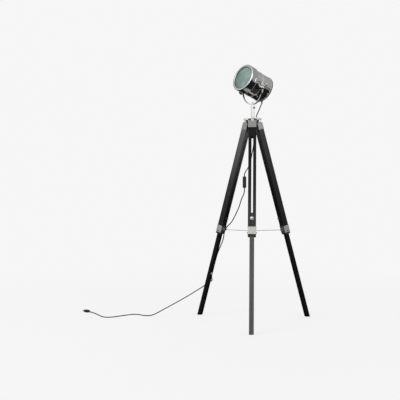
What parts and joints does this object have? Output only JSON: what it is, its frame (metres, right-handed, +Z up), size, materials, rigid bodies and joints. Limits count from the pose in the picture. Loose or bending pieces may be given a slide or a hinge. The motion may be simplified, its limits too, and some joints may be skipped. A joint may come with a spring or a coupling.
{
  "type": "tripod spotlight floor lamp",
  "caption": "Floor lamp with a chromed drum spotlight in a tilting yoke on a tripod of black wooden telescoping legs, with chain spreader, corded.",
  "frame": {"origin": "on the floor, at the middle of the box around the lamp without its cord", "axes": "+Z up, the front leg points along -Y, the spotlight faces -X -Y and a little up"},
  "size_m": [1.41, 0.6224, 1.4748],
  "materials": {
    "hub_metal": "satin cast and polished",
    "chrome_plate": "polished plate",
    "black_metal": "black oxide",
    "black_wood": "black satin lacquer",
    "cap_metal": "satin nickel plate",
    "collar_metal": "satin nickel plate",
    "bush_plastic": "moulded",
    "chain_steel": "plated wire",
    "knob_plastic": "moulded, polished",
    "gasket_rubber": "moulded",
    "frosted_glass": "frosted",
    "reflector_metal": "spun, satin",
    "socket_ceramic": "glazed",
    "bulb_glass": "frosted white",
    "black_plastic": "moulded",
    "cord_sheath": "extruded",
    "rocker_plastic": "moulded, polished",
    "clip_plastic": "moulded",
    "pin_brass": "nickelled"
  },
  "bodies": {
    "hub": {"hub_casting": "hub_metal", "leg_hinge_bolts": "chrome_plate", "stem_tube": "chrome_plate", "chain_ring": "chain_steel", "chain_front": "chain_steel", "chain_right": "chain_steel", "chain_left": "chain_steel", "cord_yoke": "cord_sheath", "cord_drop": "cord_sheath", "cord_leg_upper": "cord_sheath", "cord_floor": "cord_sheath", "switch_case": "black_plastic", "plug_body": "black_plastic", "plug_pins": "pin_brass"},
    "stem_screw": {"stem_thumb_screw": "black_metal"},
    "rocker": {"switch_rocker": "rocker_plastic"},
    "yoke": {"yoke_strap": "chrome_plate", "yoke_spigot": "chrome_plate", "cord_head": "cord_sheath"},
    "head": {"head_drum": "chrome_plate", "front_flange": "chrome_plate", "rear_cap": "chrome_plate", "rear_cap_screws": "chrome_plate", "reflector": "reflector_metal", "lamp_socket": "socket_ceramic", "bulb": "bulb_glass", "pivot_lugs": "chrome_plate", "cable_gland": "black_plastic"},
    "front_door": {"bezel_ring": "chrome_plate", "front_glass": "frosted_glass", "glass_gasket": "gasket_rubber", "door_hinge_pin": "chrome_plate", "door_screw": "chrome_plate"},
    "knob_near": {"tilt_knob_near": "chrome_plate"},
    "knob_far": {"tilt_knob_far": "knob_plastic"},
    "upper_front": {"leg_cap_front": "cap_metal", "upper_leg_front": "black_wood", "leg_collar_front": "collar_metal", "collar_bush_front": "bush_plastic"},
    "lower_front": {"lower_leg_front": "black_wood", "clamp_bolt_front": "chrome_plate"},
    "wing_front": {"wing_nut_front": "chrome_plate"},
    "upper_right": {"leg_cap_right": "cap_metal", "upper_leg_right": "black_wood", "leg_collar_right": "collar_metal", "collar_bush_right": "bush_plastic"},
    "lower_right": {"lower_leg_right": "black_wood", "clamp_bolt_right": "chrome_plate"},
    "wing_right": {"wing_nut_right": "chrome_plate"},
    "upper_left": {"leg_cap_left": "cap_metal", "upper_leg_left": "black_wood", "leg_collar_left": "collar_metal", "collar_bush_left": "bush_plastic", "cord_leg_lower": "cord_sheath"},
    "lower_left": {"lower_leg_left": "black_wood", "clamp_bolt_left": "chrome_plate", "cord_clip": "clip_plastic", "cord_air": "cord_sheath"},
    "wing_left": {"wing_nut_left": "chrome_plate"}
  },
  "joints": [
    {"name": "head_pan", "type": "hinge", "parent": "hub", "child": "yoke", "pos_m": [0, 0.09134, 1.25095], "axis": [0, 0, 1], "range_deg": [-90, 90], "deforming": ["cord_yoke"]},
    {"name": "head_tilt", "type": "hinge", "parent": "yoke", "child": "head", "pos_m": [0, 0.09134, 1.338], "axis": [-0.7071, 0.7071, 0], "range_deg": [-60, 20], "deforming": ["cord_head"]},
    {"name": "door_open", "type": "hinge", "parent": "head", "child": "front_door", "pos_m": [0.01899, -0.00531, 1.3739], "axis": [0.3562, 0.0621, 0.9324], "range_deg": [0, 110]},
    {"name": "near_knob_turn", "type": "hinge", "parent": "yoke", "child": "knob_near", "pos_m": [0, 0.09134, 1.338], "axis": [0.7071, -0.7071, 0], "range_deg": [0, 270]},
    {"name": "far_knob_turn", "type": "hinge", "parent": "yoke", "child": "knob_far", "pos_m": [0, 0.09134, 1.338], "axis": [-0.7071, 0.7071, 0], "range_deg": [0, 270]},
    {"name": "stem_screw_turn", "type": "hinge", "parent": "hub", "child": "stem_screw", "pos_m": [0, 0.09134, 1.232], "axis": [0.7071, -0.7071, 0], "range_deg": [0, 270]},
    {"name": "switch_rock", "type": "hinge", "parent": "hub", "child": "rocker", "pos_m": [-0.046, 0.06064, 0.8025], "axis": [1, 0, 0], "range_deg": [-6, 6]},
    {"name": "leg_fold_front", "type": "hinge", "parent": "hub", "child": "upper_front", "pos_m": [0, 0.05934, 1.156], "axis": [1, 0, 0], "range_deg": [0, 15.5], "deforming": ["chain_front"]},
    {"name": "leg_slide_front", "type": "slide", "parent": "upper_front", "child": "lower_front", "axis": [0, 0.2845, 0.9587], "range_m": [0, 0.445]},
    {"name": "wing_turn_front", "type": "hinge", "parent": "lower_front", "child": "wing_front", "pos_m": [0, -0.10684, 0.59593], "axis": [0, -0.9587, 0.2845], "range_deg": [0, 270]},
    {"name": "leg_fold_right", "type": "hinge", "parent": "hub", "child": "upper_right", "pos_m": [0.02771, 0.10734, 1.156], "axis": [-0.5, 0.866, 0], "range_deg": [0, 15.5], "deforming": ["chain_right"]},
    {"name": "leg_slide_right", "type": "slide", "parent": "upper_right", "child": "lower_right", "axis": [-0.2463, -0.1422, 0.9587], "range_m": [0, 0.445]},
    {"name": "wing_turn_right", "type": "hinge", "parent": "lower_right", "child": "wing_right", "pos_m": [0.17163, 0.19043, 0.59593], "axis": [0.8302, 0.4793, 0.2845], "range_deg": [0, 270]},
    {"name": "leg_fold_left", "type": "hinge", "parent": "hub", "child": "upper_left", "pos_m": [-0.02771, 0.10734, 1.156], "axis": [-0.5, -0.866, 0], "range_deg": [0, 15.5], "deforming": ["chain_left", "cord_leg_upper", "cord_floor", "cord_drop"]},
    {"name": "leg_slide_left", "type": "slide", "parent": "upper_left", "child": "lower_left", "axis": [0.2463, -0.1422, 0.9587], "range_m": [0, 0.24], "deforming": ["cord_leg_lower", "cord_air"]},
    {"name": "wing_turn_left", "type": "hinge", "parent": "lower_left", "child": "wing_left", "pos_m": [-0.17163, 0.19043, 0.59593], "axis": [-0.8302, 0.4793, 0.2845], "range_deg": [0, 270]}
  ]
}
